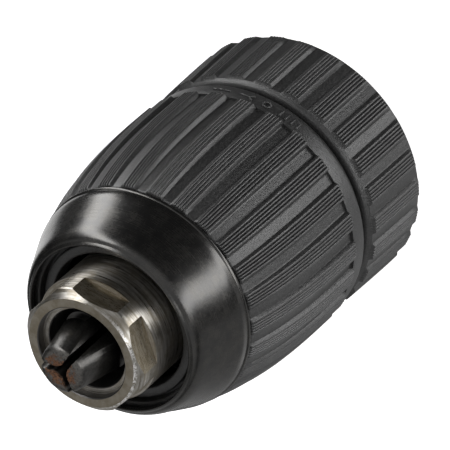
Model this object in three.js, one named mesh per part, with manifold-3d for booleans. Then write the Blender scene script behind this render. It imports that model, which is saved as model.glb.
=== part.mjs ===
// Keyless two-sleeve drill chuck, 1.5 to 13 mm, as an assembly of its real pieces.
// Millimetres. +Z runs along the chuck's axis from the rear face to the nose, and the
// origin is the centre of the rear face. The jaws are drawn nearly closed.
import * as THREE from 'three';
import { mergeVertices } from 'three/addons/utils/BufferGeometryUtils.js';
import Module from 'manifold-3d';

const wasm = await Module();
wasm.setup();

// ---- driving dimensions ----
const NOSE_Z = 63.4;             // nose end face
const NECK_R = 10.3;             // round neck behind the nose, and the corners of the hexagon
const HEX_ACROSS_FLATS = 19;
const HEX_LENGTH = 4.5;
const HEX_TURN = 52.5;           // azimuth of the first flat, degrees
const NOSE_CHAMFER = 1.17;
const NOSE_BORE_R = 6.6;         // lets a 13 mm shank through
const NOSE_RECESS_R = 7.6;
const NOSE_RECESS_DEPTH = 1.5;
const SPINDLE_BORE_R = 5.6;      // minor diameter of a 1/2-20 UNF thread
const SPINDLE_BORE_DEPTH = 16;
const SPINDLE_CHAMFER = 0.75;
const SCREW_HOLE_R = 3.2;        // for the spindle's left-hand safety screw
const WEB_TOP_Z = 20;            // floor of the nose bore
const TAIL_R = 17.6;             // body behind the nut
const REAR_SEAT_R = 18.6;        // press seat of the rear sleeve
const REAR_SEAT_LENGTH = 5;
const SNAP_GROOVE_R = 16.85;
const SNAP_GROOVE_BACK_Z = 18.6;
const SNAP_GROOVE_FRONT_Z = 19.8;
const FLANGE_TOP_Z = 25;         // thrust face of the body
const RACE_SEAT_R = 14.5;
const RACE_SEAT_TOP_Z = 29.9;
const NUT_GROOVE_R = 9.8;        // neck where the nut sits
const NUT_GROOVE_TOP_Z = 39.6;

const JAW_COUNT = 3;
const JAW_AZIMUTHS = [90, 330, 210];
const JAW_TILT = 13 * Math.PI / 180;
const JAW_R = 3.4;
const JAW_LENGTH = 38;
const JAW_TIP_Z = 68.8;
const JAW_TIP_OFFSET = 0.25;     // distance of the jaw's own axis from the chuck's axis at the tip
const JAW_TRAVEL = 24.4;         // from 2 mm, as drawn, to 13 mm open
const JAW_HOLE_R = 3.6;
const BITE_R = 1;                // distance of the gripping flats from the axis
const BITE_GAP = 1.04;           // between the side faces of neighbouring jaws
const THREAD_PITCH = 2.2;        // along the jaw
const TOOTH_DEPTH = 0.95;
const THREAD_ENGAGEMENT = 0.5;
const SLOT_WIDTH = 1.35;
const WEDGE_REACH = 24;          // past the widest radius of a jaw's side faces

const RACE_MID_R = 16.3;         // pitch radius of the balls
const BALL_R = 1.15;
const BALL_COUNT = 16;
const RACE_THICKNESS = 1.2;
const CAGE_INNER_R = 14.7;
const CAGE_THICKNESS = 1.2;
const NUT_BACK_Z = 30.2;
const NUT_FRONT_Z = 38.6;
const NUT_R = 15.8;
const NUT_FLANGE_R = 17.4;
const NUT_FLANGE_THICKNESS = 1.7;
const BAND_R = 17.8;
const KEY_WIDTH = 16;            // degrees, drive keys of the front sleeve
const LOCK_TURN = 24;            // degrees that the sleeve turns on the nut to set the lock

const GRIP_GROUPS = 26;          // rib groups round each sleeve
const GRIP_VALLEY_TURN = 24;     // azimuth of one valley's centre, degrees
const GRIP_RIB_SHARE = 0.62;     // part of the pitch that stands up as ribs
const SLEEVE_R = 21.35;          // front sleeve over its ribs, at the rear
const SLEEVE_BACK_Z = 14.9;
const GRIP_BACK_Z = 19.85;
const SMOOTH_BAND_R = 21;        // smooth band behind the ribs of the front sleeve
const CAVITY_R = 18.7;
const CAVITY_BACK_Z = 21.5;
const INNER_LIP_Z = 53.7;        // front ring of the front sleeve, round the neck
const INNER_LIP_R = 11.4;
const CAP_BACK_Z = 46;
const CAP_BACK_R = 18.6;
const CAP_FRONT_Z = 56;
const CAP_FRONT_R = 14.05;
const CAP_THICKNESS = 0.9;
const REAR_SLEEVE_R = 21.5;
const REAR_SLEEVE_LENGTH = 14.5;
const REAR_GRIP_FRONT_Z = 13.7;
const REAR_CHAMBER_R = 19.35;
const GRIP_DEPTH = 0.9;

const FIT = 0.3;                 // clearance between neighbouring pieces
const SLEEVE_SEGMENTS = 2 * GRIP_GROUPS;
const STEEL_SEGMENTS = 36;
const RAD = Math.PI / 180;

// ---- materials ----
function surface(color, roughness, metalness) {
  return new THREE.MeshStandardMaterial({ color, roughness, metalness });
}
const bodySteel = surface(0x8d8a84, 0.35, 1);
const jawSteel = surface(0x4a423c, 0.4, 1);
const bearingSteel = surface(0xa5a7aa, 0.2, 1);
const springSteel = surface(0x5d6064, 0.3, 1);
const capSteel = surface(0x55565a, 0.3, 1);
const sleevePlastic = surface(0x3a3b3d, 0.75, 0);
const cagePlastic = surface(0x8a8577, 0.6, 0);

// ---- solids: closed meshes that can be joined and cut ----
function toSolid(geometry) {
  const bare = geometry.clone();
  bare.deleteAttribute('normal');
  bare.deleteAttribute('uv');
  const merged = mergeVertices(bare, 1e-4);
  return new wasm.Manifold(new wasm.Mesh({
    numProp: 3,
    vertProperties: new Float32Array(merged.attributes.position.array),
    triVerts: new Uint32Array(merged.index.array),
  }));
}

function toGeometry(solid) {
  const mesh = solid.getMesh();
  const geometry = new THREE.BufferGeometry();
  geometry.setAttribute('position', new THREE.BufferAttribute(mesh.vertProperties, 3));
  geometry.setIndex(new THREE.BufferAttribute(mesh.triVerts, 1));
  geometry.computeVertexNormals();
  return geometry;
}

// A ring or disc turned about Z. The outline is a closed list of [radius, z], anticlockwise.
function turned(outline, segments = STEEL_SEGMENTS) {
  const points = outline.map(([r, z]) => new THREE.Vector2(r, z));
  points.push(points[0].clone());
  const lathe = new THREE.LatheGeometry(points, segments);
  lathe.rotateX(Math.PI / 2);
  return toSolid(lathe);
}

// The same, with its facets in line with the rib groups of the sleeves.
function turnedSleeve(outline) {
  return turned(outline, SLEEVE_SEGMENTS).rotate([0, 0, GRIP_VALLEY_TURN + 90 / GRIP_GROUPS]);
}

function ring(inner, outer, low, high, segments) {
  return turned([[inner, low], [outer, low], [outer, high], [inner, high]], segments);
}

// A flat outline in X and Y, raised from low to high.
function raised(shape, low, high, curveSegments = 8) {
  const geometry = new THREE.ExtrudeGeometry(shape, {
    depth: high - low, bevelEnabled: false, curveSegments,
  });
  geometry.translate(0, 0, low);
  return toSolid(geometry);
}

// Part of a ring between two azimuths, in degrees.
function sector(inner, outer, start, end, low, high) {
  const shape = new THREE.Shape();
  shape.absarc(0, 0, outer, start * RAD, end * RAD, false);
  shape.absarc(0, 0, inner, end * RAD, start * RAD, true);
  shape.closePath();
  const steps = Math.max(1, Math.round((end - start) / 12));
  return raised(shape, low, high, steps);
}

function block(size, centre, azimuth = 0) {
  const geometry = new THREE.BoxGeometry(...size);
  geometry.translate(...centre);
  geometry.rotateZ(azimuth * RAD);
  return toSolid(geometry);
}

function joinAll(solids) {
  return solids.reduce((whole, solid) => whole.add(solid));
}

// ---- jaws: round rods on tilted axes that meet in front of the nose ----
function jawAxisRadius(z) {
  return JAW_TIP_OFFSET + (JAW_TIP_Z - z) * Math.tan(JAW_TILT);
}

function jawOuterRadius(z) {
  return jawAxisRadius(z) + JAW_R / Math.cos(JAW_TILT);
}

// A rod along the axis of the jaw at azimuth 0, from ahead of the tip to behind it.
function tiltedRod(outline, segments) {
  const rod = new THREE.LatheGeometry(outline.map(([r, s]) => new THREE.Vector2(r, -s)), segments);
  rod.rotateX(Math.PI / 2);
  rod.rotateY(-JAW_TILT);
  rod.translate(JAW_TIP_OFFSET, 0, JAW_TIP_Z);
  return toSolid(rod);
}

const THREAD_RISE = THREAD_PITCH * Math.cos(JAW_TILT);    // height of one turn along Z
const THREAD_START_Z = 30.9;
const THREAD_END_Z = 37;

function jawTeeth(azimuth) {
  const phase = THREAD_RISE * azimuth / 360;
  const reach = THREAD_END_Z + JAW_TRAVEL * Math.cos(JAW_TILT);
  const slots = [];
  for (let z = THREAD_START_Z + phase - THREAD_RISE; z < reach + THREAD_RISE / 2; z += THREAD_RISE) {
    const floor = jawOuterRadius(z) - TOOTH_DEPTH;
    slots.push(block([4, 2 * JAW_R + 1, SLOT_WIDTH], [floor + 2, 0, z]));
  }
  return joinAll(slots);
}

function jaw(azimuth) {
  const rod = tiltedRod([[0, JAW_LENGTH], [JAW_R - 0.6, JAW_LENGTH], [JAW_R, JAW_LENGTH - 0.6],
    [JAW_R, -3], [0, -3]], 20);
  const slope = Math.tan(60 * RAD);
  const sideOffset = BITE_GAP / 2 / Math.sin(60 * RAD);
  const flatHalf = (BITE_R - sideOffset) * slope;
  const wedgeHalf = (WEDGE_REACH - sideOffset) * slope;
  const wedge = new THREE.Shape([
    new THREE.Vector2(BITE_R, -flatHalf), new THREE.Vector2(WEDGE_REACH, -wedgeHalf),
    new THREE.Vector2(WEDGE_REACH, wedgeHalf), new THREE.Vector2(BITE_R, flatHalf),
  ]);
  const low = WEB_TOP_Z;
  const tipEnvelope = turned([[0, low], [WEDGE_REACH, low], [WEDGE_REACH, 62], [3.85, 66.8],
    [JAW_R, 68], [JAW_R - 1, JAW_TIP_Z], [0, JAW_TIP_Z]], 30);
  return rod.intersect(raised(wedge, low, JAW_TIP_Z + 1)).intersect(tipEnvelope)
    .subtract(jawTeeth(azimuth));
}

// ---- body ----
function chuckBody() {
  const snapGroove = [
    [TAIL_R, SNAP_GROOVE_BACK_Z], [SNAP_GROOVE_R, SNAP_GROOVE_BACK_Z],
    [SNAP_GROOVE_R, SNAP_GROOVE_FRONT_Z], [TAIL_R, SNAP_GROOVE_FRONT_Z],
  ];
  const turnedBody = turned([
    [SPINDLE_BORE_R + SPINDLE_CHAMFER, 0], [REAR_SEAT_R, 0], [REAR_SEAT_R, REAR_SEAT_LENGTH],
    [TAIL_R, REAR_SEAT_LENGTH], ...snapGroove, [TAIL_R, FLANGE_TOP_Z],
    [RACE_SEAT_R, FLANGE_TOP_Z], [RACE_SEAT_R, RACE_SEAT_TOP_Z],
    [NUT_GROOVE_R, RACE_SEAT_TOP_Z], [NUT_GROOVE_R, NUT_GROOVE_TOP_Z],
    [NECK_R, NUT_GROOVE_TOP_Z], [NECK_R, NOSE_Z - NOSE_CHAMFER], [NECK_R - NOSE_CHAMFER, NOSE_Z],
    [NOSE_RECESS_R, NOSE_Z], [NOSE_RECESS_R, NOSE_Z - NOSE_RECESS_DEPTH],
    [NOSE_BORE_R, NOSE_Z - NOSE_RECESS_DEPTH], [NOSE_BORE_R, WEB_TOP_Z],
    [SCREW_HOLE_R, WEB_TOP_Z], [SCREW_HOLE_R, SPINDLE_BORE_DEPTH],
    [SPINDLE_BORE_R, SPINDLE_BORE_DEPTH], [SPINDLE_BORE_R, SPINDLE_CHAMFER],
  ], 42);
  const holeReach = JAW_LENGTH + JAW_TRAVEL + 0.4;
  const hole = tiltedRod([[0, holeReach], [JAW_HOLE_R, holeReach], [JAW_HOLE_R, -2], [0, -2]], 24);
  const holes = JAW_AZIMUTHS.map((azimuth) => hole.rotate([0, 0, azimuth]));
  const flats = [];
  for (let side = 0; side < 6; side += 1) {
    const depth = 4;
    flats.push(block([depth, 16, HEX_LENGTH + 1],
      [HEX_ACROSS_FLATS / 2 + depth / 2, 0, NOSE_Z - HEX_LENGTH / 2 + 0.5], HEX_TURN + 60 * side));
  }
  return turnedBody.subtract(joinAll([...holes, ...flats]));
}

// ---- split nut with its conical thread ----
// Closed skin over a row of equal rings of points, with flat ends.
function skin(rings) {
  const count = rings[0].length;
  const positions = rings.flat();
  const triangles = [];
  for (let i = 0; i + 1 < rings.length; i += 1) {
    for (let j = 0; j < count; j += 1) {
      const here = i * count + j;
      const beside = i * count + (j + 1) % count;
      triangles.push(here, beside + count, beside, here, here + count, beside + count);
    }
  }
  const last = (rings.length - 1) * count;
  for (let j = 1; j + 1 < count; j += 1) {
    triangles.push(0, j, j + 1, last, last + j + 1, last + j);
  }
  const geometry = new THREE.BufferGeometry();
  geometry.setAttribute('position', new THREE.Float32BufferAttribute(positions.flat(), 3));
  geometry.setIndex(triangles);
  return toSolid(geometry);
}

function nutThread() {
  const steps = 24;
  const turns = (THREAD_END_Z - THREAD_START_Z) / THREAD_RISE;
  const rings = [];
  for (let i = 0; i <= Math.round(turns * steps); i += 1) {
    const angle = 2 * Math.PI * i / steps;
    const z = THREAD_START_Z + THREAD_RISE * i / steps;
    const crest = jawOuterRadius(z) - THREAD_ENGAGEMENT;
    const root = jawOuterRadius(z) + 2 * FIT;
    const outline = [[root, z - 0.6], [root, z + 0.6], [crest, z + 0.25], [crest, z - 0.25]];
    rings.push(outline.map(([r, height]) => [r * Math.cos(angle), r * Math.sin(angle), height]));
  }
  return skin(rings);
}

function wholeNut() {
  const blank = turned([
    [jawOuterRadius(NUT_BACK_Z) + FIT, NUT_BACK_Z], [NUT_FLANGE_R, NUT_BACK_Z],
    [NUT_FLANGE_R, NUT_BACK_Z + NUT_FLANGE_THICKNESS], [NUT_R, NUT_BACK_Z + NUT_FLANGE_THICKNESS],
    [NUT_R, NUT_FRONT_Z],
    [jawOuterRadius(NUT_FRONT_Z) + FIT, NUT_FRONT_Z],
  ]);
  return blank.add(nutThread());
}

function nutHalf(nut, side) {
  const size = 40;
  const splitAzimuth = 30;
  const middle = (NUT_BACK_Z + NUT_FRONT_Z) / 2;
  const keep = block([size, size / 2, size], [0, side * (size / 4 + FIT / 2), middle], splitAzimuth);
  return nut.intersect(keep);
}

const NOTCH_WIDTH = KEY_WIDTH + LOCK_TURN + 1.6;
const HOOK_AZIMUTH = 60;

function nutBand() {
  const low = NUT_BACK_Z + NUT_FLANGE_THICKNESS + FIT;
  const high = NUT_FRONT_Z + 0.5;
  const band = ring(NUT_R + FIT, BAND_R, low, high);
  const cuts = [sector(NUT_R + 1, BAND_R + 1, HOOK_AZIMUTH - 5, HOOK_AZIMUTH + 5, low - 1, low + 2)];
  for (let i = 0; i < 3; i += 1) {
    const start = 120 * i - NOTCH_WIDTH / 2;
    cuts.push(sector(NUT_R + 1, BAND_R + 1, start, start + NOTCH_WIDTH, low - 1, high + 1));
  }
  return band.subtract(joinAll(cuts));
}

// ---- thrust bearing ----
const REAR_RACE_TOP_Z = FLANGE_TOP_Z + 0.1 + RACE_THICKNESS;
const BALL_Z = REAR_RACE_TOP_Z + 0.05 + BALL_R;
const FRONT_RACE_BACK_Z = BALL_Z + BALL_R + 0.05;
const RACE_INNER_R = 15.05;

function ratchetRace() {
  const teeth = 24;
  const shape = new THREE.Shape();
  for (let i = 0; i < teeth; i += 1) {
    const start = 2 * Math.PI * i / teeth;
    const end = start + 1.8 * Math.PI / teeth;
    const first = i === 0 ? 'moveTo' : 'lineTo';
    shape[first](17 * Math.cos(start), 17 * Math.sin(start));
    shape.lineTo(17.5 * Math.cos(end), 17.5 * Math.sin(end));
  }
  shape.closePath();
  const hole = new THREE.Path();
  hole.absarc(0, 0, RACE_INNER_R, 0, 2 * Math.PI, true);
  shape.holes.push(hole);
  return raised(shape, FLANGE_TOP_Z + 0.1, REAR_RACE_TOP_Z, 30);
}

function frontRace() {
  return ring(RACE_INNER_R, NUT_FLANGE_R, FRONT_RACE_BACK_Z, NUT_BACK_Z - 0.1);
}

function ballCage() {
  const pocket = new THREE.CylinderGeometry(BALL_R + 0.16, BALL_R + 0.16, 3, 8);
  pocket.rotateX(Math.PI / 2);
  pocket.translate(RACE_MID_R, 0, BALL_Z);
  const pocketSolid = toSolid(pocket);
  const pockets = [];
  for (let i = 0; i < BALL_COUNT; i += 1) {
    pockets.push(pocketSolid.rotate([0, 0, 360 * i / BALL_COUNT]));
  }
  const half = CAGE_THICKNESS / 2;
  return ring(CAGE_INNER_R, BAND_R, BALL_Z - half, BALL_Z + half, 32).subtract(joinAll(pockets));
}

// ---- lock spring: a spring-steel strip with a hook on the nut band and a pawl over the teeth ----
function lockSpring() {
  const inner = BAND_R + 0.25;
  const outer = inner + 0.3;
  const strip = sector(inner, outer, HOOK_AZIMUTH - 150, HOOK_AZIMUTH + 150, 26.8, 31.6);
  const hook = sector(NUT_R + 1.3, outer, HOOK_AZIMUTH - 4, HOOK_AZIMUTH + 4, 32.5, 33.9);
  const stem = sector(inner, outer, HOOK_AZIMUTH - 4, HOOK_AZIMUTH + 4, 31.5, 33.9);
  const pawl = sector(TAIL_R + 0.25, outer, HOOK_AZIMUTH + 140, HOOK_AZIMUTH + 150, 25.2, 26.2);
  const pawlStem = sector(inner, outer, HOOK_AZIMUTH + 140, HOOK_AZIMUTH + 150, 25.2, 27);
  return joinAll([strip, stem, hook, pawlStem, pawl]);
}

// An open ring of square wire in the groove of the body.
function sleeveSnapRing() {
  const side = 0.2;
  return sector(TAIL_R - 0.5, TAIL_R + 0.45, 12, 348, SNAP_GROOVE_BACK_Z + side, SNAP_GROOVE_FRONT_Z - side);
}

// ---- grip sleeves ----
// Crest of the ribs on the front sleeve: straight at the rear, curving in towards the cap.
function crestRadius(z) {
  const along = Math.max(0, (z - GRIP_BACK_Z) / (CAP_BACK_Z - GRIP_BACK_Z));
  return SLEEVE_R - (SLEEVE_R - CAP_BACK_R) * along ** 2.8;
}

// Prism whose arms cover the rib groups and leave the valleys free.
function gripArms(innerRadius, low, high) {
  const pitch = 360 / GRIP_GROUPS;
  const half = pitch * GRIP_RIB_SHARE / 2;
  const outerRadius = SLEEVE_R + 2;
  const shape = new THREE.Shape();
  const corner = (radius, azimuth) => [radius * Math.cos(azimuth * RAD), radius * Math.sin(azimuth * RAD)];
  for (let i = 0; i < GRIP_GROUPS; i += 1) {
    const middle = GRIP_VALLEY_TURN + pitch * (i + 0.5);
    const points = [corner(innerRadius, middle - half), corner(outerRadius, middle - half),
      corner(outerRadius, middle + half), corner(innerRadius, middle + half)];
    points.forEach(([x, y], index) => {
      if (i === 0 && index === 0) shape.moveTo(x, y);
      else shape.lineTo(x, y);
    });
  }
  shape.closePath();
  return raised(shape, low, high);
}

function frontSleeve() {
  const grip = [];
  const floor = [];
  const rows = 4;
  for (let i = 0; i <= rows; i += 1) {
    const z = THREE.MathUtils.lerp(GRIP_BACK_Z, CAP_BACK_Z - FIT, i / rows);
    grip.push([crestRadius(z), z]);
    floor.push([crestRadius(z) - THREE.MathUtils.lerp(GRIP_DEPTH, GRIP_DEPTH / 2, i / rows), z]);
  }
  const underCap = CAP_THICKNESS + FIT;
  const bore = TAIL_R + FIT;
  const band = [[bore, SLEEVE_BACK_Z], [19.5, SLEEVE_BACK_Z], [20.3, 15.8], [20.85, 17.4],
    [SMOOTH_BAND_R, GRIP_BACK_Z - 0.05]];
  const front = [[CAP_BACK_R - underCap - 0.1, CAP_BACK_Z - FIT], [14.35, 54.4], [13.5, 54.4],
    [13.35, 52.6], [13, 52.6], [13, INNER_LIP_Z], [INNER_LIP_R, INNER_LIP_Z], [INNER_LIP_R, 50.5]];
  const cavity = [[15.3, 48.5], [17.3, 41.5], [CAVITY_R, NUT_FRONT_Z + 0.4],
    [CAVITY_R, CAVITY_BACK_Z], [bore, CAVITY_BACK_Z]];
  const snapRingSpace = [[bore, SNAP_GROOVE_FRONT_Z + 0.2], [TAIL_R + 0.75, SNAP_GROOVE_FRONT_Z + 0.2],
    [TAIL_R + 0.75, SNAP_GROOVE_BACK_Z - 0.2], [bore, SNAP_GROOVE_BACK_Z - 0.2]];
  const core = turnedSleeve([...band, ...floor, ...front, ...cavity, ...snapRingSpace]);
  const ribFoot = (point) => [point[0] - GRIP_DEPTH - 0.1, point[1]];
  const ribs = turnedSleeve([...grip, ...grip.map(ribFoot).reverse()]);
  const arms = gripArms(16, GRIP_BACK_Z, CAP_BACK_Z - FIT);
  const keys = [];
  for (let i = 0; i < 3; i += 1) {
    const start = 120 * i + LOCK_TURN / 2 - KEY_WIDTH / 2;
    keys.push(sector(NUT_R + 1.3, CAVITY_R + 0.2, start, start + KEY_WIDTH, 33, 39));
  }
  return joinAll([core, ribs.intersect(arms), ...keys]);
}

function noseCap() {
  const outside = [[CAP_BACK_R, CAP_BACK_Z], [16, 53.2], [15.35, 54.7], [14.75, 55.6]];
  const lip = [[CAP_FRONT_R, CAP_FRONT_Z], [CAP_FRONT_R - 0.3, CAP_FRONT_Z - 0.2], [13.75, 55.1]];
  const inside = [[14.6, 54.7], [CAP_BACK_R - CAP_THICKNESS, CAP_BACK_Z]];
  return turnedSleeve([...outside, ...lip, ...inside]);
}

function rearSleeve() {
  const boreR = REAR_SEAT_R + FIT;
  const outline = (drop) => [
    [REAR_SLEEVE_R - 0.2 - drop, 0], [REAR_SLEEVE_R - drop, 0.5], [REAR_SLEEVE_R - 0.1 - drop, 10],
    [REAR_SLEEVE_R - 0.4 - drop, REAR_GRIP_FRONT_Z],
  ];
  const rim = [[20.15, REAR_SLEEVE_LENGTH - 0.2], [20, REAR_SLEEVE_LENGTH], [19.8, REAR_SLEEVE_LENGTH - 0.3]];
  const chamber = [[REAR_CHAMBER_R, 12.5], [REAR_CHAMBER_R, REAR_SEAT_LENGTH + FIT],
    [boreR, REAR_SEAT_LENGTH + FIT]];
  const core = turnedSleeve([[boreR, 0], ...outline(0.5), ...rim, ...chamber]);
  const ribs = turnedSleeve([[20, 0], ...outline(0), [20, REAR_GRIP_FRONT_Z]]);
  return core.add(ribs.intersect(gripArms(20.2, 0, REAR_GRIP_FRONT_Z)));
}

// ---- assembly ----
const chuck = new THREE.Group();

function add(name, solid, material, parent = chuck) {
  const mesh = new THREE.Mesh(toGeometry(solid), material);
  mesh.name = name;
  parent.add(mesh);
  return mesh;
}

add('chuck_body', chuckBody(), bodySteel);
add('rear_sleeve', rearSleeve(), sleevePlastic);
add('sleeve_snap_ring', sleeveSnapRing(), springSteel);
add('ratchet_race', ratchetRace(), bearingSteel);

for (let i = 0; i < JAW_COUNT; i += 1) {
  const mesh = add(`jaw_${i + 1}`, jaw(JAW_AZIMUTHS[i]), jawSteel);
  mesh.rotation.z = JAW_AZIMUTHS[i] * RAD;
}

const nut = wholeNut();
add('nut_half_a', nutHalf(nut, 1), bodySteel);
add('nut_half_b', nutHalf(nut, -1), bodySteel);
add('nut_band', nutBand(), springSteel);
add('front_race', frontRace(), bearingSteel);
add('lock_spring', lockSpring(), springSteel);

add('ball_cage', ballCage(), cagePlastic);
const ballSolid = toSolid(new THREE.IcosahedronGeometry(BALL_R, 1));
for (let i = 0; i < BALL_COUNT; i += 1) {
  const azimuth = 2 * Math.PI * i / BALL_COUNT;
  const ball = add(`ball_${String(i + 1).padStart(2, '0')}`, ballSolid, bearingSteel);
  ball.position.set(RACE_MID_R * Math.cos(azimuth), RACE_MID_R * Math.sin(azimuth), BALL_Z);
}

add('front_sleeve', frontSleeve(), sleevePlastic);
add('nose_cap', noseCap(), capSteel);

export default chuck;
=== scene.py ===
"""Keyless drill chuck: fine visual pieces, materials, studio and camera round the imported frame."""
import math
import random

import bmesh
import bpy
from mathutils import Matrix, Vector


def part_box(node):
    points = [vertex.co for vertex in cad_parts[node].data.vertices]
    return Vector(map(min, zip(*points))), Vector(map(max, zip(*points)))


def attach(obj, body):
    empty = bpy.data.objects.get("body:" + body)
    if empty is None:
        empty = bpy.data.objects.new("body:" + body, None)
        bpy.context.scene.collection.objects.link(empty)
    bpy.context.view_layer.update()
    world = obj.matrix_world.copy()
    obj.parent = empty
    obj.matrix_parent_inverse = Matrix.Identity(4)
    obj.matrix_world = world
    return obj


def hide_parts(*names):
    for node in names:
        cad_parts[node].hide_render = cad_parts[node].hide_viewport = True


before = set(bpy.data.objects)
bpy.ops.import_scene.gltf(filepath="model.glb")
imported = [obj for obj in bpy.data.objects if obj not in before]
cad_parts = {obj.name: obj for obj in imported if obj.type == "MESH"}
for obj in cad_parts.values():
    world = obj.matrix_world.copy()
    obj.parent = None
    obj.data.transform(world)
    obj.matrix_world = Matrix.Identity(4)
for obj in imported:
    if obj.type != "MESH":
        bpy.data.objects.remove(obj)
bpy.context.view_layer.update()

MM = 0.001

# ---- sizes that the frame's boxes don't give, in millimetres and degrees ----
# Grip of both sleeves: groups of fine ribs with flat valleys between them.
GRIP_GROUPS = 26
GRIP_PITCH = 360 / GRIP_GROUPS
GRIP_VALLEY_TURN = 24
REAR_VALLEY_TURN = 26.5
GRIP_RIB_SHARE = 0.51
GRIP_DEPTH = 0.9
REAR_GRIP_DEPTH = 0.6
FINE_RIBS = 5
FINE_RIB_DEPTH = 0.26
EDGE_DROP = 0.08
RIB_STEPS = (0, 0.15, 0.3, 0.42, 0.58, 0.7, 0.85)
RIB_POWER = 3
VALLEY_WALL = 0.95
VALLEY_FILLET = 0.4
VALLEY_CORNER_SHARE = 0.93
PLAIN_CREST_HEIGHT = 0.5

# Outsides of the front sleeve, the nose cap and the rear sleeve.
SLEEVE_BACK_Z = 14.9
GRIP_BACK_Z = 19.85
GRIP_FRONT_Z = 45.7
BAND_R = 20.95
SLEEVE_R = 21.35
CAP_BACK_Z = 46
CAP_BACK_R = 18.6
CREST_POWER = 2.8
REAR_SLEEVE_R = 21.5
REAR_GRIP_FRONT_Z = 13.5

# Body: nose, hexagon, groove of the nut, and spindle bore.
NOSE_Z = 63.4
NECK_R = 10.3
NOSE_BORE_R = 6.6
NOSE_RECESS_R = 7.6
NOSE_RECESS_Z = NOSE_Z - 1.5
NUT_GROOVE_R = 9.8
BODY_R = 17.6
HEX_HALF = 9.5
HEX_LENGTH = 4.5
HEX_TURN = 52.5
SPINDLE_BORE_R = 5.6
SPINDLE_THREAD_R = 6.3
SPINDLE_PITCH = 1.27
SPINDLE_BORE_DEPTH = 16
WEB_TOP_Z = 20

# Jaws: azimuths, rods, gripping faces, thread teeth, and the reach of the shapes that cut them.
JAW_AZIMUTHS = {"jaw_1": 90, "jaw_2": 330, "jaw_3": 210}
JAW_TILT = math.radians(13)
JAW_R = 3.4
JAW_LENGTH = 38
JAW_TIP_Z = 68.8
JAW_TIP_OFFSET = 0.25
JAW_HOLE_R = 3.6
JAW_HOLE_LENGTH = 62.8
BITE_R = 1
BITE_SIDE_OFFSET = 0.6
BITE_ANGLE = math.radians(60)
BITE_SLOPE = math.tan(BITE_ANGLE)
TOOTH_RISE = 2.2 * math.cos(JAW_TILT)
TOOTH_DEPTH = 0.95
TOOTH_SLOT = 1.35
TEETH_LOW_Z = 30.9
TEETH_HIGH_Z = 60.8
CUT_LOW_Z = 20
CUT_HIGH_Z = 70
CUT_R = 24

# ---- places of the body's steels in its list of materials ----
TURNED, MILLED, FACED, BORED = range(4)


# ---- meshes ----
def new_object(name, data):
    made = bpy.data.objects.new(name, data)
    bpy.context.scene.collection.objects.link(made)
    return made


def from_bmesh(name, work):
    bmesh.ops.recalc_face_normals(work, faces=work.faces)
    mesh = bpy.data.meshes.new(name)
    work.to_mesh(mesh)
    work.free()
    return new_object(name, mesh)


def polar(radius, azimuth, z):
    """A point in metres, from millimetres and degrees."""
    angle = math.radians(azimuth)
    return Vector((radius * math.cos(angle), radius * math.sin(angle), z)) * MM


def direction(azimuth, elevation):
    """A vector of length 1, from degrees."""
    angle = math.radians(azimuth)
    rise = math.radians(elevation)
    return Vector((math.cos(rise) * math.cos(angle), math.cos(rise) * math.sin(angle), math.sin(rise)))


def crease(mesh, degrees=32):
    """Smooth shading that stays sharp along edges that bend more than the given angle."""
    work = bmesh.new()
    work.from_mesh(mesh)
    for face in work.faces:
        face.smooth = True
    for edge in work.edges:
        if len(edge.link_faces) == 2:
            edge.smooth = edge.calc_face_angle() < math.radians(degrees)
    work.to_mesh(mesh)
    work.free()


def join_columns(work, columns, closed):
    """Faces all the way round, between neighbouring columns of points. Closed columns join their ends."""
    rows = len(columns[0])
    for column, beside in zip(columns, columns[1:] + columns[:1]):
        for j in range(rows if closed else rows - 1):
            k = (j + 1) % rows
            work.faces.new((column[j], beside[j], beside[k], column[k]))


def revolve(name, azimuths, outlines, crest_height=None):
    """Skin round the axis: one closed outline of (radius, z) for each azimuth, all of equal length."""
    work = bmesh.new()
    layer = work.verts.layers.float.new("crest_height")
    columns = []
    for i, (azimuth, outline) in enumerate(zip(azimuths, outlines)):
        column = [work.verts.new(polar(radius, azimuth, z)) for radius, z in outline]
        for j, vertex in enumerate(column):
            vertex[layer] = crest_height[i][j] if crest_height else 0.0
        columns.append(column)
    join_columns(work, columns, closed=True)
    piece = from_bmesh(name, work)
    crease(piece.data)
    return piece


def even_turn(count):
    """Azimuths in degrees that divide a full turn evenly."""
    return [360 * i / count for i in range(count)]


def lathe(name, outline, segments=192):
    return revolve(name, even_turn(segments), [outline] * segments)


def prism(name, outline, low, high):
    """A flat outline of (x, y) in millimetres, raised from low to high."""
    work = bmesh.new()
    bottom = [work.verts.new(Vector((x, y, low)) * MM) for x, y in outline]
    top = [work.verts.new(Vector((x, y, high)) * MM) for x, y in outline]
    work.faces.new(bottom[::-1])
    work.faces.new(top)
    for i in range(len(outline)):
        j = (i + 1) % len(outline)
        work.faces.new((bottom[i], bottom[j], top[j], top[i]))
    return from_bmesh(name, work)


def solid_turn(name, outline, segments=64):
    """A turned solid whose outline of (radius, z) starts and ends on the axis."""
    work = bmesh.new()
    first = work.verts.new(Vector((0, 0, outline[0][1])) * MM)
    last = work.verts.new(Vector((0, 0, outline[-1][1])) * MM)
    rings = []
    for radius, z in outline[1:-1]:
        rings.append([work.verts.new(polar(radius, azimuth, z)) for azimuth in even_turn(segments)])
    for i in range(segments):
        j = (i + 1) % segments
        work.faces.new((first, rings[0][j], rings[0][i]))
        work.faces.new((last, rings[-1][i], rings[-1][j]))
        for low, high in zip(rings, rings[1:]):
            work.faces.new((low[i], low[j], high[j], high[i]))
    return from_bmesh(name, work)


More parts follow.
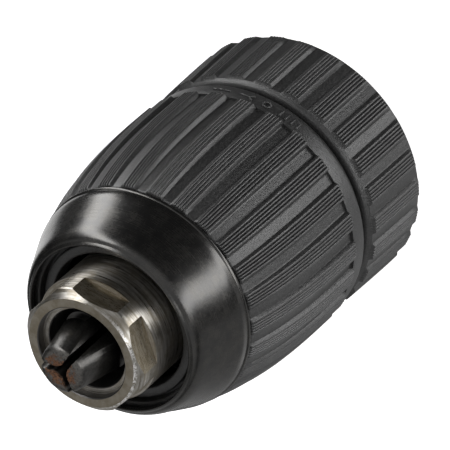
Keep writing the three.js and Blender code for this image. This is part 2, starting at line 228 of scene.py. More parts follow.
def blocks(name, sizes_and_places):
    """Separate boxes in one mesh: each has a size in millimetres and a matrix, also in millimetres."""
    work = bmesh.new()
    shrink = Matrix.Scale(MM, 4)
    for size, place in sizes_and_places:
        bmesh.ops.create_cube(work, size=1, matrix=shrink @ place @ Matrix.Diagonal((*size, 1)))
    return from_bmesh(name, work)


def settle(piece):
    """Makes the result of a piece's modifiers its own mesh."""
    graph = bpy.context.evaluated_depsgraph_get()
    done = bpy.data.meshes.new_from_object(piece.evaluated_get(graph))
    piece.modifiers.clear()
    piece.data = done


def carve(piece, tools, operation="DIFFERENCE"):
    """Cuts a piece with each tool in turn, and uses the tools up."""
    for tool in tools:
        modifier = piece.modifiers.new("carve", "BOOLEAN")
        modifier.operation = operation
        modifier.solver = "EXACT"
        modifier.object = tool
        settle(piece)
        bpy.data.objects.remove(tool)


def soften(piece, width, segments=2, degrees=35):
    """Rounds off the edges that bend more than the given angle."""
    modifier = piece.modifiers.new("soften", "BEVEL")
    modifier.width = width * MM
    modifier.segments = segments
    modifier.limit_method = "ANGLE"
    modifier.angle_limit = math.radians(degrees)
    modifier.use_clamp_overlap = True
    settle(piece)


def arc(centre, radius, start, end, steps):
    """Points (r, z) on a round corner, from one angle to another in degrees."""
    points = []
    for i in range(steps + 1):
        angle = math.radians(start + (end - start) * i / steps)
        points.append((centre[0] + radius * math.cos(angle), centre[1] + radius * math.sin(angle)))
    return points


def place(piece, node, body, slot):
    """Says which CAD node a piece stands for and which body it moves with. The slot is not used."""
    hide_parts(node)
    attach(piece, body)
    return piece


# ---- grip sleeves ----
def grip_marks(first_valley):
    """Azimuths round a sleeve, each with its share of the valleys' depth and its fine groove's depth."""
    floor_half = GRIP_PITCH * (1 - GRIP_RIB_SHARE) / 2 - VALLEY_WALL
    corner = [(floor_half, VALLEY_CORNER_SHARE)]
    corner += [(floor_half - VALLEY_FILLET * i, 1) for i in (1, 2)]
    rib = GRIP_PITCH * GRIP_RIB_SHARE / FINE_RIBS
    marks = []
    for group in range(GRIP_GROUPS):
        middle = first_valley + GRIP_PITCH * group
        for side in (-1, 1):
            for turn, share in corner[::-side]:
                marks.append((middle + side * turn, share, 0))
        start = middle + floor_half + VALLEY_WALL
        for i in range(FINE_RIBS):
            for step in RIB_STEPS:
                outer_half = (i == 0 and step < 0.5) or (i == FINE_RIBS - 1 and step > 0.5)
                depth = EDGE_DROP if outer_half else FINE_RIB_DEPTH
                marks.append((start + rib * (i + step), 0, depth * abs(2 * step - 1) ** RIB_POWER))
        marks.append((start + rib * FINE_RIBS, 0, EDGE_DROP))
    return marks


def crest_radius(z):
    """Outline of the front sleeve's ribs, which curves in towards the nose cap."""
    along = max(0.0, (z - GRIP_BACK_Z) / (CAP_BACK_Z - GRIP_BACK_Z))
    return SLEEVE_R - (SLEEVE_R - CAP_BACK_R) * along ** CREST_POWER


def sleeve_skin(name, first_valley, before, grip, after):
    """A sleeve whose outline has plain points before and after a stretch of (crest radius, sink, z)."""
    marks = grip_marks(first_valley)
    outlines, crest_height = [], []
    for _, share, drop in marks:
        points = []
        for crest, sink, z in grip:
            groove = drop if sink else 0
            points.append((crest - share * sink - groove, z))
        outlines.append(before + points + after)
        height = 1 - share - drop / FINE_RIB_DEPTH
        crest_height.append([PLAIN_CREST_HEIGHT] * len(before) + [height] * len(points) + [PLAIN_CREST_HEIGHT] * len(after))
    return revolve(name, [azimuth for azimuth, _, _ in marks], outlines, crest_height)


def front_sleeve():
    rows = 18
    end_round = 0.4
    band = [(18.0, SLEEVE_BACK_Z), (19.4, SLEEVE_BACK_Z), (19.65, 15.2), (20.1, 15.75), (20.45, 16.2),
            (20.66, 16.5), (20.8, 16.75), (20.88, 17.05), (20.92, 17.6), (20.94, 18.4),
            (BAND_R, GRIP_BACK_Z - 0.3), (BAND_R - 0.06, GRIP_BACK_Z - 0.05)]
    grip = []
    for i in range(rows + 1):
        z = GRIP_BACK_Z + (GRIP_FRONT_Z - end_round - GRIP_BACK_Z) * i / rows
        grip.append((crest_radius(z), GRIP_DEPTH * (1 - 0.5 * i / rows), z))
    for drop, z in arc((-end_round, GRIP_FRONT_Z - end_round), end_round, 20, 80, 4):
        grip.append((crest_radius(z) + drop, GRIP_DEPTH / 2, z))
    under_cap = [(17.3, GRIP_FRONT_Z + 0.1), (14.4, 54.2), (14.2, 54.4), (13.6, 54.4), (13.4, 54.2),
                 (13.35, 52.6), (13.0, 52.6)]
    inner_ring = arc((12.7, 53.4), 0.3, 0, 90, 4) + arc((11.7, 53.4), 0.3, 90, 180, 4)
    cavity = [(11.4, 50.5), (15.3, 48.5), (17.3, 41.5), (18.7, 39), (18.7, 21.5), (17.9, 21.5), (17.9, 20),
              (18.35, 20), (18.35, 18.4), (17.9, 18.4), (17.9, SLEEVE_BACK_Z + 0.1)]
    inside = under_cap + inner_ring + cavity
    piece = sleeve_skin("front_sleeve_fine", GRIP_VALLEY_TURN, band, grip, inside)
    return place(piece, "front_sleeve", "front_sleeve", "grip_plastic")


def rear_sleeve():
    rows = 8
    chamfer = 0.75
    taper = 0.35
    back_edge = [(18.9, 0.15), (19.0, 0)]
    grip = [(REAR_SLEEVE_R - REAR_GRIP_DEPTH, 0, 0)]
    for i in range(rows + 1):
        along = i / rows
        crest = REAR_SLEEVE_R - taper * along ** 1.5
        grip.append((crest, REAR_GRIP_DEPTH, chamfer + (REAR_GRIP_FRONT_Z - chamfer) * along))
    front_edge = [(20.55, REAR_GRIP_FRONT_Z + 0.2), (20.3, 14.0), (20.1, 14.24), (19.9, 14.36),
                  (19.5, 14.47), (18.85, 14.5), (18.8, 14.4), (19.35, 13.9)]
    bore = [(19.35, 5.3), (18.9, 5.3)]
    piece = sleeve_skin("rear_sleeve_fine", REAR_VALLEY_TURN, back_edge, grip, front_edge + bore)
    return place(piece, "rear_sleeve", "chuck_body", "grip_plastic")


def mark_place(azimuth, z, twist):
    """A place on the smooth band: X outwards, Y round the sleeve, turned by a twist in degrees."""
    turn = Matrix.Rotation(math.radians(azimuth), 4, "Z")
    return turn @ Matrix.Translation((BAND_R - 0.05, 0, z)) @ Matrix.Rotation(math.radians(twist), 4, "X")


def ring_strokes(middle_turn, middle_z, radius, length):
    """Short strokes that make a ring on the band: (azimuth, z, twist, length) of each."""
    strokes = []
    for twist in even_turn(12):
        angle = math.radians(twist)
        azimuth = middle_turn + math.degrees(radius * math.cos(angle) / BAND_R)
        strokes.append((azimuth, middle_z + radius * math.sin(angle), twist + 90, length))
    return strokes


def sleeve_marks():
    """Raised moulded marks on the band, without meaning: dashes, an arrow, a ring and upright bars."""
    height = 0.7
    stroke = 0.32
    middle_z = 18.4
    upright = 90
    dashes = [(azimuth, middle_z, 0, 0.9) for azimuth in (76, 73, 70)]
    shaft = [(61.5, middle_z, 0, 1.7)]
    barbs = [(58.6, middle_z + side * stroke, -side * 40, 0.95) for side in (-1, 1)]
    bars = [(azimuth, middle_z, upright, 1.5) for azimuth in (44, 41, 38, 35)]
    ring = ring_strokes(middle_turn=51, middle_z=middle_z, radius=0.62, length=0.36)
    made = []
    for azimuth, z, twist, length in dashes + shaft + barbs + bars + ring:
        made.append(((height, length, stroke), mark_place(azimuth, z, twist)))
    piece = blocks("sleeve_marks", made)
    soften(piece, 0.12, segments=3)
    crease(piece.data)
    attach(piece, "front_sleeve")
    return piece


# ---- steel pieces ----
def nose_cap():
    back_edge = [(17.75, CAP_BACK_Z)] + arc((18.22, CAP_BACK_Z + 0.38), 0.38, -90, 10, 6)
    groove = [(18.5, 46.62), (18.36, 46.72), (18.34, 46.9)]
    cone = [(18.32, 47.4), (18.24, 47.85), (18.08, 48.35), (17.52, 49.7), (16.92, 51.1), (16.3, 52.5)]
    shoulder = [(15.8, 53.8), (15.56, 54.35), (15.3, 54.82), (14.98, 55.22), (14.66, 55.5)]
    lip = [(14.5, 55.56), (14.34, 55.7), (14.18, 55.92), (14.05, 56.0), (13.9, 55.97), (13.8, 55.86)]
    inside = [(13.76, 55.2), (14.1, 54.95), (14.6, 54.6)]
    piece = lathe("nose_cap_fine", back_edge + groove + cone + shoulder + lip + inside, 256)
    return place(piece, "nose_cap", "front_sleeve", "cap_steel")


def tilted(piece, azimuth):
    """Lays a piece that was turned about Z, tip at 0 and length downwards, on one jaw's axis."""
    turn = Matrix.Rotation(math.radians(azimuth), 4, "Z")
    tip = Matrix.Translation(Vector((JAW_TIP_OFFSET, 0, JAW_TIP_Z)) * MM)
    piece.data.transform(turn @ tip @ Matrix.Rotation(-JAW_TILT, 4, "Y"))
    return piece


def spindle_thread():
    """Helical ridge that cuts the thread of the rear bore."""
    steps = 36
    root_r, root_half, crest_half = SPINDLE_BORE_R - 0.1, 0.58, 0.1
    turns_before_face = 0.6
    turns = (SPINDLE_BORE_DEPTH - 0.5) / SPINDLE_PITCH
    work = bmesh.new()
    sections = []
    for i in range(round(turns * steps) + 1):
        z = SPINDLE_PITCH * (i / steps - turns_before_face)
        outline = [(root_r, z - root_half), (root_r, z + root_half),
                   (SPINDLE_THREAD_R, z + crest_half), (SPINDLE_THREAD_R, z - crest_half)]
        azimuth = 360 * i / steps
        sections.append([work.verts.new(polar(radius, azimuth, height)) for radius, height in outline])
    for here, beside in zip(sections, sections[1:]):
        for j in range(4):
            k = (j + 1) % 4
            work.faces.new((here[j], here[k], beside[k], beside[j]))
    work.faces.new(sections[0])
    work.faces.new(sections[-1])
    return from_bmesh("spindle_thread", work)


def hexagon_cuts():
    """Blocks that cut the six flats of the nose."""
    outer, side = HEX_HALF + 4, 8
    outline = [(HEX_HALF, -side), (outer, -side), (outer, side), (HEX_HALF, side)]
    cuts = []
    for azimuth in even_turn(6):
        block = prism("flat", outline, NOSE_Z - HEX_LENGTH, NOSE_Z + 1)
        block.data.transform(Matrix.Rotation(math.radians(HEX_TURN + azimuth), 4, "Z"))
        cuts.append(block)
    return cuts


def jaw_holes():
    """Rods that cut the three tilted bores of the jaws."""
    deep = -JAW_HOLE_LENGTH
    holes = []
    for azimuth in JAW_AZIMUTHS.values():
        rod = solid_turn("hole", [(0, deep), (JAW_HOLE_R, deep), (JAW_HOLE_R, 2), (0, 2)])
        holes.append(tilted(rod, azimuth))
    return holes


def chuck_body():
    flange_r = 18.6
    snap_groove_r = 16.85
    race_seat_r = 14.5
    screw_hole_r = 3.2
    rear = [(SPINDLE_BORE_R, 0.75), (6.35, 0), (flange_r - 0.15, 0), (flange_r, 0.15), (flange_r, 5),
            (BODY_R, 5)]
    snap_groove = [(BODY_R, 18.6), (snap_groove_r, 18.6), (snap_groove_r, 19.8), (BODY_R, 19.8)]
    middle = [(BODY_R, 25), (race_seat_r, 25), (race_seat_r, 29.9), (NUT_GROOVE_R, 29.9),
              (NUT_GROOVE_R, 39.6), (NECK_R, 39.6)]
    nose = [(NECK_R, 62.1), (10.24, 62.26), (9.27, 63.24), (9.13, NOSE_Z), (NOSE_RECESS_R + 0.15, NOSE_Z),
            (NOSE_RECESS_R, NOSE_Z - 0.15)]
    bore = [(NOSE_RECESS_R, NOSE_RECESS_Z), (NOSE_BORE_R + 0.15, NOSE_RECESS_Z),
            (NOSE_BORE_R, NOSE_RECESS_Z - 0.15), (NOSE_BORE_R, WEB_TOP_Z), (screw_hole_r, WEB_TOP_Z),
            (screw_hole_r, SPINDLE_BORE_DEPTH), (SPINDLE_BORE_R, SPINDLE_BORE_DEPTH)]
    piece = lathe("chuck_body_fine", rear + snap_groove + middle + nose + bore, 180)
    carve(piece, hexagon_cuts() + jaw_holes())
    soften(piece, 0.08, degrees=40)
    carve(piece, [spindle_thread()])
    crease(piece.data, degrees=12)
    return place(piece, "chuck_body", "chuck_body", "machined_steel")


def bite_outline():
    """Section of a jaw's gripping end: two faces at 120 degrees, broken by small lengthwise teeth."""
    spacing = 0.36
    teeth = 3
    depth = 0.14
    upper = [(BITE_R, (BITE_R - BITE_SIDE_OFFSET) * BITE_SLOPE)]
    for i in range(1, 2 * teeth + 1):
        x = BITE_R + spacing * i
        sink = depth if i % 2 else 0
        y = (x - BITE_SIDE_OFFSET) * BITE_SLOPE
        upper.append((x + sink * math.sin(BITE_ANGLE), y - sink * math.cos(BITE_ANGLE)))
    upper.append((CUT_R, (CUT_R - BITE_SIDE_OFFSET) * BITE_SLOPE))
    return [(x, -y) for x, y in reversed(upper)] + upper


def jaw_slots(azimuth):
    """Boxes that cut the jaw's thread teeth, each a part turn along the thread from the next jaw's."""
    reach = 4
    made = []
    z = TEETH_LOW_Z + TOOTH_RISE * (azimuth / 360 - 1)
    while z < TEETH_HIGH_Z + TOOTH_RISE / 2:
        axis = JAW_TIP_OFFSET + (JAW_TIP_Z - z) * math.tan(JAW_TILT)
        floor = axis + JAW_R / math.cos(JAW_TILT) - TOOTH_DEPTH
        made.append(((reach, 2 * JAW_R + 1, TOOTH_SLOT), Matrix.Translation((floor + reach / 2, 0, z))))
        z += TOOTH_RISE
    return blocks("slots", made)


def chips(seed):
    """Small lumps that break pieces out of a jaw's front edges, along the gap to its neighbours."""
    draw = random.Random(seed)
    work = bmesh.new()
    for side in (-1, 1):
        for x in (1.0, 1.6, 2.15, 2.7):
            radius = draw.uniform(0.16, 0.34)
            y = side * (x - BITE_SIDE_OFFSET) * BITE_SLOPE
            spot = Vector((x + draw.uniform(-0.15, 0.15), y, JAW_TIP_Z))
            turn = Matrix.Rotation(draw.uniform(0, 6), 4, "X") @ Matrix.Rotation(draw.uniform(0, 6), 4, "Z")
            stretch = Matrix.Diagonal((1, draw.uniform(0.7, 1.3), draw.uniform(0.8, 1.6), 1))
            where = Matrix.Translation(spot * MM) @ stretch @ turn
            bmesh.ops.create_icosphere(work, subdivisions=1, radius=radius * MM, matrix=where)
    return from_bmesh("chips", work)


def jaw_tip():
    """Turned solid round the chuck's axis that gives all jaws one tapered, rounded front."""
    rim_r = 1.2
    rim = arc((2.77, JAW_TIP_Z - rim_r), rim_r, 12, 90, 8)
    cone = [(0, CUT_LOW_Z), (CUT_R, CUT_LOW_Z), (CUT_R, 62), (4.32, 66.3)]
    return solid_turn("tip", cone + rim + [(0, JAW_TIP_Z)], 96)


def jaw(name, azimuth):
    chamfer = 0.6
    past_tip = 3
    outline = [(0, -JAW_LENGTH), (JAW_R - chamfer, -JAW_LENGTH), (JAW_R, chamfer - JAW_LENGTH),
               (JAW_R, past_tip), (0, past_tip)]
    rod = tilted(solid_turn(name + "_fine", outline, 72), 0)
    wedge = prism("wedge", bite_outline(), CUT_LOW_Z, CUT_HIGH_Z)
    carve(rod, [wedge, jaw_tip()], "INTERSECT")
    carve(rod, [jaw_slots(azimuth)])
    soften(rod, 0.08, degrees=40)
    carve(rod, [chips(azimuth)])
    rod.data.transform(Matrix.Rotation(math.radians(azimuth), 4, "Z"))
    crease(rod.data, degrees=30)
    return place(rod, name, name, "jaw_steel")


def ball(name):
    low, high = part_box(name)
    middle = (Vector(low) + Vector(high)) / 2
    radius = (high[2] - low[2]) / 2
    work = bmesh.new()
    bmesh.ops.create_icosphere(work, subdivisions=3, radius=radius, matrix=Matrix.Translation(middle))
    for face in work.faces:
        face.smooth = True
    return place(from_bmesh(name + "_fine", work), name, "ball_ring", "bearing_steel")


# ---- material building blocks ----
class Recipe:
    """A material with its node tree and short ways to add nodes to it. Lengths are in millimetres."""

    def __init__(self, name):
        self.material = bpy.data.materials.new(name)
        self.material.use_nodes = True
        self.tree = self.material.node_tree
        self.shader = self.tree.nodes["Principled BSDF"]
        coordinates = self.tree.nodes.new("ShaderNodeTexCoord")
        self.place = self.scaled(coordinates.outputs["Object"], (1 / MM,) * 3)
        self.azimuth, self.radius, self.height = self.cylinder()

    def node(self, kind, **settings):
        made = self.tree.nodes.new("ShaderNode" + kind)
        for key, value in settings.items():
            setattr(made, key, value)
        return made

    def feed(self, socket, value):
        """Links a socket to another, or sets it to a constant."""
        if isinstance(value, bpy.types.NodeSocket):
            self.tree.links.new(value, socket)
        else:
            socket.default_value = value

    def scaled(self, vector, factors):
        made = self.node("VectorMath", operation="MULTIPLY")
        self.feed(made.inputs[0], vector)
        made.inputs[1].default_value = factors
        return made.outputs[0]

    def math(self, operation, first, second=0.0):
        made = self.node("Math", operation=operation)
        self.feed(made.inputs[0], first)
        self.feed(made.inputs[1], second)
        return made.outputs[0]

    def times(self, *values):
        product = values[0]
        for value in values[1:]:
            product = self.math("MULTIPLY", product, value)
        return product

    def cylinder(self):
        """Azimuth in radians, radius and height of the shaded point."""
        parts = self.node("SeparateXYZ")
        self.feed(parts.inputs[0], self.place)
        x, y, z = parts.outputs
        square = self.math("ADD", self.times(x, x), self.times(y, y))
        return self.math("ARCTAN2", y, x), self.math("SQRT", square), z

    def turned(self, around, across):
        """Coordinates for lathe marks, which run round the axis."""
        joined = self.node("CombineXYZ")
        self.feed(joined.inputs[0], self.times(self.azimuth, around))
        self.feed(joined.inputs[1], self.times(self.radius, across))
        self.feed(joined.inputs[2], self.times(self.height, across))
        return joined.outputs[0]

    def noise(self, vector, scale, detail=3.0, roughness=0.55):
        made = self.node("TexNoise")
        self.feed(made.inputs["Vector"], vector)
        made.inputs["Scale"].default_value = scale
        made.inputs["Detail"].default_value = detail
        made.inputs["Roughness"].default_value = roughness
        return made.outputs["Fac"]

    def spread(self, value, low, high, to_low=0.0, to_high=1.0):
        """Maps a range of a value smoothly on to another range."""
        made = self.node("MapRange", interpolation_type="SMOOTHSTEP")
        for socket, entry in zip(made.inputs[:5], (value, low, high, to_low, to_high)):
            self.feed(socket, entry)
        return made.outputs["Result"]

    def mix(self, share, first, second):
        made = self.node("Mix", data_type="RGBA")
        self.feed(made.inputs[0], share)
        self.feed(made.inputs[6], first)
        self.feed(made.inputs[7], second)
        return made.outputs[2]

    def bump(self, height, distance, strength=1.0):
        made = self.node("Bump")
        made.inputs["Strength"].default_value = strength
        made.inputs["Distance"].default_value = distance * MM
        self.feed(made.inputs["Height"], height)
        return made.outputs["Normal"]

    def attribute(self, name):
        return self.node("Attribute", attribute_name=name).outputs["Fac"]

    def brushed(self, amount):
        """Stretches highlights across lathe marks."""
        self.shader.inputs["Anisotropic"].default_value = amount
        self.shader.inputs["Anisotropic Rotation"].default_value = 0.25
        tangent = self.node("Tangent", direction_type="RADIAL", axis="Z")
        self.feed(self.shader.inputs["Tangent"], tangent.outputs[0])

    def set(self, **values):
        """Feeds the shader's sockets, whose names have underscores for spaces, and gives the material."""
        for key, value in values.items():
            self.feed(self.shader.inputs[key.replace("_", " ")], value)
        return self.material


def grey(value, warmth=0.0):
    return (value * (1 + warmth), value, value * (1 - warmth), 1)


def taupe(value, warmth=0.12):
    """A grey that loses more blue than it gains red, like oiled steel."""
    return (value * (1 + warmth), value, value * (1 - 1.7 * warmth), 1)


def grip_plastic():
    """Moulded charcoal plastic: fine grain, crests a little lighter and smoother than the grooves."""
    look = Recipe("grip_plastic")
    grain = look.noise(look.place, scale=4, detail=4, roughness=0.75)
    cloud = look.noise(look.place, scale=0.35, detail=3)
    # Crests lighter and smoother by the height stored on the sleeves' points, broken up by clouds.
    crest = look.times(look.spread(look.attribute("crest_height"), 0.6, 1.0), look.spread(cloud, 0.3, 0.7))
    base = look.mix(look.spread(grain, 0.4, 0.68), grey(0.008), grey(0.045))
    rough = look.math("SUBTRACT", look.spread(grain, 0.3, 0.75, 0.38, 0.48), look.times(crest, 0.03))
    return look.set(Base_Color=look.mix(crest, base, grey(0.038)), Roughness=rough, Specular_IOR_Level=1.0,
                    Normal=look.bump(grain, 0.04, 1.0))


def cap_steel():
    """Blackened turned steel with a soft satin."""
    look = Recipe("cap_steel")
    lines = look.noise(look.turned(around=1.2, across=14), scale=1, detail=5, roughness=0.65)
    patches = look.noise(look.place, scale=0.45, detail=6, roughness=0.7)
    colour = look.mix(look.spread(patches, 0.34, 0.7), grey(0.08, 0.01), taupe(0.102, 0.03))
    satin = look.spread(lines, 0.25, 0.75, 0.22, 0.29)
    rough = look.math("ADD", satin, look.spread(patches, 0.3, 0.8, -0.02, 0.05))
    return look.set(Base_Color=colour, Metallic=1.0, Roughness=rough, Normal=look.bump(lines, 0.004, 0.5))


def turned_steel():
    """Bright turned steel of the neck and chamfers, with warm stains and a pale front edge that is partly
    wear and partly a painted highlight.
    """
    look = Recipe("turned_steel")
    lines = look.noise(look.turned(around=2, across=9), scale=1, detail=5, roughness=0.7)
    streaks = look.noise(look.turned(around=1.5, across=2.6), scale=1, detail=5, roughness=0.7)
    patches = look.noise(look.place, scale=0.5, detail=4, roughness=0.6)
    stain = look.spread(patches, 0.42, 0.7)
    nicks = look.noise(look.place, scale=1.6, detail=4, roughness=0.7)
    # Painted highlight and wear on the front edge: paler and less metallic, strongest on the side towards
    # the lamps.
    lit_and_worn_side = look.math("COSINE", look.math("ADD", look.azimuth, math.radians(40)))
    rim = look.spread(look.height, NOSE_Z - 0.5, NOSE_Z - 0.25)
    edge = look.times(rim, look.spread(nicks, 0.44, 0.52), look.spread(lit_and_worn_side, 0.1, 0.8, 0.15, 1.0))
    clean = look.mix(look.spread(streaks, 0.36, 0.62), taupe(0.26, 0.1), taupe(0.6, 0.04))
    plain = look.mix(look.times(stain, 0.7), clean, taupe(0.28, 0.14))
    rough = look.math("ADD", look.spread(streaks, 0.3, 0.7, 0.26, 0.38), look.times(stain, 0.06))
    look.brushed(0.85)
    metal = look.math("SUBTRACT", 1.0, look.times(edge, 0.5))
    return look.set(Base_Color=look.mix(edge, plain, grey(0.85, 0.02)), Metallic=metal, Roughness=rough,
                    Normal=look.bump(lines, 0.008, 0.8))


def milled_steel():
    """Flats of the hexagon: duller and browner, with marks across each flat."""
    look = Recipe("milled_steel")
    lines = look.noise(look.turned(around=4, across=7), scale=1, detail=5, roughness=0.7)
    streaks = look.noise(look.turned(around=3, across=2.2), scale=1, detail=4, roughness=0.7)
    colour = look.mix(look.spread(streaks, 0.3, 0.7), taupe(0.42, 0.12), taupe(0.22, 0.19))
    return look.set(Base_Color=colour, Metallic=1.0, Roughness=look.spread(lines, 0.3, 0.7, 0.25, 0.38),
                    Normal=look.bump(lines, 0.012, 0.8))


def faced_steel():
    """End face of the nose: matt and taupe."""
    look = Recipe("faced_steel")
    grain = look.noise(look.place, scale=5, detail=4, roughness=0.7)
    patches = look.noise(look.place, scale=0.7, detail=3, roughness=0.6)
    colour = look.mix(look.spread(patches, 0.35, 0.7), taupe(0.36, 0.1), taupe(0.26, 0.14))
    return look.set(Base_Color=colour, Metallic=1.0, Roughness=look.spread(grain, 0.3, 0.7, 0.42, 0.55),
                    Normal=look.bump(grain, 0.02, 0.5))


def bore_steel():
    """Inside of the bores: a darker steel than the outside."""
    look = Recipe("bore_steel")
    lines = look.noise(look.turned(around=2, across=6), scale=1, detail=4, roughness=0.6)
    colour = look.mix(lines, grey(0.15), grey(0.24, 0.05))
    return look.set(Base_Color=colour, Metallic=1.0, Roughness=look.spread(lines, 0.3, 0.7, 0.4, 0.6),
                    Normal=look.bump(lines, 0.02, 0.5))


def jaw_steel():
    """Hardened dark steel: greyer end faces with rust-brown patches towards the gap."""
    look = Recipe("jaw_steel")
    fine = look.noise(look.place, scale=2.5, detail=5, roughness=0.65)
    patches = look.noise(look.place, scale=1.3, detail=5, roughness=0.75)
    end = look.spread(look.height, JAW_TIP_Z - 0.7, JAW_TIP_Z - 0.1)
    ragged = look.math("ADD", look.radius, look.spread(patches, 0.3, 0.7, 1.2, -1.2))
    rust = look.times(end, look.spread(ragged, 2.5, 2.0), look.spread(fine, 0.2, 0.5))
    dark = look.mix(look.spread(fine, 0.3, 0.7), grey(0.065, 0.02), taupe(0.1, 0.03))
    face = look.mix(look.times(end, look.spread(fine, 0.25, 0.7)), dark, taupe(0.2, 0.04))
    brown = look.mix(look.spread(fine, 0.4, 0.6), (0.26, 0.115, 0.05, 1), (0.07, 0.036, 0.022, 1))
    rough = look.math("ADD", look.spread(fine, 0.25, 0.75, 0.3, 0.4), look.times(rust, 0.3))
    metal = look.math("SUBTRACT", 1.0, look.times(rust, 0.8))
    return look.set(Base_Color=look.mix(rust, face, brown), Metallic=metal, Roughness=rough,
                    Normal=look.bump(fine, 0.015, 0.5))


def plain_steel(name, level, low_rough, high_rough):
    """Inner steel pieces: turned, rolled or ground."""
    look = Recipe(name)
    lines = look.noise(look.turned(around=2, across=20), scale=1, detail=4, roughness=0.6)
    colour = look.mix(look.spread(lines, 0.3, 0.7), grey(level * 0.85), grey(level, 0.02))
    rough = look.spread(lines, 0.3, 0.7, low_rough, high_rough)
    return look.set(Base_Color=colour, Metallic=1.0, Roughness=rough, Normal=look.bump(lines, 0.008, 0.4))


def cage_plastic():
    """Cream-coloured plastic of the ball cage."""
    look = Recipe("cage_plastic")
    speckle = look.noise(look.place, scale=6, detail=3)
    colour = look.mix(speckle, (0.20, 0.18, 0.13, 1), (0.30, 0.27, 0.20, 1))
    return look.set(Base_Color=colour, Roughness=look.spread(speckle, 0.3, 0.7, 0.45, 0.6),
                    Normal=look.bump(speckle, 0.02, 0.4))


def dress(piece, material):
    piece.data.materials.clear()
    piece.data.materials.append(material)


def dress_node(name, material):
    """Puts a material in the slots of a CAD node that stays as it is."""
    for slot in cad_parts[name].material_slots:
        slot.material = material


def body_steel(face):
    """Which of the body's four steels a face has."""
    x, y, z = face.center / MM
    radius = math.hypot(x, y)
    slack = 0.1
    faces_axis = x * face.normal.x + y * face.normal.y < -0.5 * radius
    below_recess = radius < NUT_GROOVE_R - 3 * slack and z < NOSE_RECESS_Z - slack
    if z > WEB_TOP_Z and (faces_axis or below_recess):
        return BORED
    if face.normal.z > 0.95 and z > NOSE_Z - slack:
        return FACED
    on_hexagon = z > NOSE_Z - HEX_LENGTH and HEX_HALF - slack < radius < NECK_R - slack / 2
    if on_hexagon and abs(face.normal.z) < 0.1:
        return MILLED
    return TURNED


def dress_body(piece):
    """Turned steel all over, but for the milled flats, the faced end of the nose and the bores."""
    piece.data.materials.clear()
    for material in (turned_steel(), milled_steel(), faced_steel(), bore_steel()):
        piece.data.materials.append(material)
    for face in piece.data.polygons:
        face.material_index = body_steel(face)


# ---- studio ----
def aim_from(thing, target, back, distance, roll):
    """Puts a light or camera behind its target, looking at it, rolled by an angle in degrees."""
    thing.location = target + back * distance
    level = back.to_track_quat("Z", "Y").to_matrix().to_4x4()
    thing.rotation_euler = (level @ Matrix.Rotation(math.radians(roll), 4, "Z")).to_euler()


def soft_box(name, azimuth, elevation, size, radiance, lean=0):
    """A soft light that faces the chuck's middle. Its size is its width and height in metres."""
    distance = 0.5
    middle = Vector((0, 0, 0.035))
    light = bpy.data.lights.new(name, "AREA")
    light.shape = "RECTANGLE"
    light.size, light.size_y = size
    light.energy = radiance * math.pi * size[0] * size[1]
    lamp = new_object(name, light)
    aim_from(lamp, middle, direction(azimuth, elevation), distance, lean)
    lamp.visible_camera = False


def sky(dark, bright):
    """Dim surroundings that are brighter overhead."""
    world = bpy.data.worlds.new("studio")
    world.use_nodes = True
    tree = world.node_tree
    coordinates = tree.nodes.new("ShaderNodeTexCoord")
    parts = tree.nodes.new("ShaderNodeSeparateXYZ")
    tree.links.new(coordinates.outputs["Generated"], parts.inputs[0])
    rise = tree.nodes.new("ShaderNodeMapRange")
    rise.interpolation_type = "SMOOTHSTEP"
    dark_below, bright_above = 0.3, 0.75
    for socket, value in zip(rise.inputs[1:5], (dark_below, bright_above, dark, bright)):
        socket.default_value = value
    tree.links.new(parts.outputs[2], rise.inputs[0])
    background = tree.nodes["Background"]
    background.inputs["Color"].default_value = (1, 1, 1, 1)
    tree.links.new(rise.outputs[0], background.inputs["Strength"])
    bpy.context.scene.world = world
    bpy.context.scene.view_settings.view_transform = "Standard"


def studio():
    """Two bright strips and three dimmer glows round the chuck, in dim surroundings."""
    sky(dark=0.06, bright=0.45)
    soft_box("right_strip", azimuth=359, elevation=-8, size=(0.17, 1.1), radiance=4.2, lean=12)
    soft_box("left_strip", azimuth=110, elevation=6, size=(0.15, 0.74), radiance=5.5, lean=22)
    soft_box("back_glow", azimuth=177, elevation=-35, size=(0.24, 0.3), radiance=1.2)
    soft_box("side_glow", azimuth=267, elevation=-12, size=(1.6, 0.6), radiance=0.34)
    soft_box("low_glow", azimuth=308, elevation=-54, size=(0.75, 0.42), radiance=0.42)


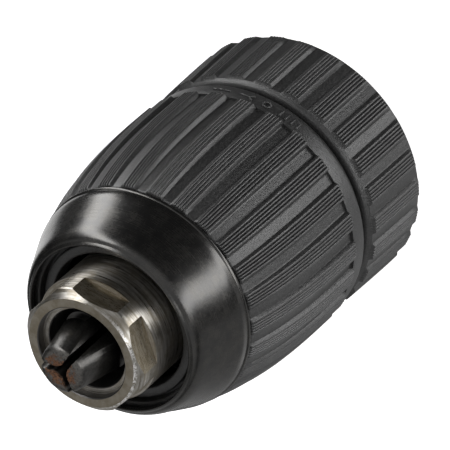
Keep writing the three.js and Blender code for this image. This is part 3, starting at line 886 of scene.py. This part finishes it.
def light_table():
    """A white floor that curves up into a wall all round, lit from inside, as a light table is."""
    flat_r, wall_r, wall_z = 1500, 2000, 1500
    middle_r, floor_z = 0.01, -0.2
    bend = wall_r - flat_r
    sweep = arc((flat_r, bend + floor_z), bend, -90, 0, 8)
    outline = [(middle_r, floor_z)] + sweep + [(wall_r, wall_z)]
    work = bmesh.new()
    columns = []
    for azimuth in even_turn(64):
        columns.append([work.verts.new(polar(radius, azimuth, z)) for radius, z in outline])
    join_columns(work, columns, closed=False)
    ground = from_bmesh("floor", work)
    look = Recipe("floor_white")
    tone = look.noise(look.place, scale=0.02, detail=2)
    dress(ground, look.set(Base_Color=look.mix(tone, grey(0.8), grey(0.85)), Roughness=0.7,
                           Emission_Color=grey(1.0), Emission_Strength=1.0))
    ground.visible_diffuse = False
    ground.visible_glossy = False
    ground.visible_shadow = False


def camera():
    """Looks from 45 degrees above the chuck's side, rolled so that the nose points down to the left."""
    aim = Vector((0, 0.0001, 0.0232))
    azimuth, elevation, roll = 24.5, 45.45, -131.6
    distance = 0.6136
    data = bpy.data.cameras.new("camera")
    data.lens = 320
    data.sensor_width = 36
    data.clip_start = 0.05
    data.clip_end = 10
    viewer = new_object("camera", data)
    aim_from(viewer, aim, direction(azimuth, elevation), distance, roll)
    bpy.context.scene.camera = viewer


# ---- assembly ----
plastic = grip_plastic()
for grip_piece in (front_sleeve(), rear_sleeve(), sleeve_marks()):
    dress(grip_piece, plastic)
dress(nose_cap(), cap_steel())
dress_body(chuck_body())
jaw_material = jaw_steel()
for jaw_name, jaw_azimuth in JAW_AZIMUTHS.items():
    dress(jaw(jaw_name, jaw_azimuth), jaw_material)

ground_steel = plain_steel("bearing_steel", level=0.6, low_rough=0.12, high_rough=0.22)
for node_name in sorted(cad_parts):
    if node_name.startswith("ball_") and node_name != "ball_cage":
        dress(ball(node_name), ground_steel)
for node_name in ("front_race", "ratchet_race"):
    dress_node(node_name, ground_steel)
nut_steel = plain_steel("nut_steel", level=0.36, low_rough=0.28, high_rough=0.42)
for node_name in ("nut_half_a", "nut_half_b"):
    dress_node(node_name, nut_steel)
rolled_steel = plain_steel("spring_steel", level=0.28, low_rough=0.25, high_rough=0.4)
for node_name in ("nut_band", "lock_spring", "sleeve_snap_ring"):
    dress_node(node_name, rolled_steel)
dress_node("ball_cage", cage_plastic())

camera()
studio()
light_table()
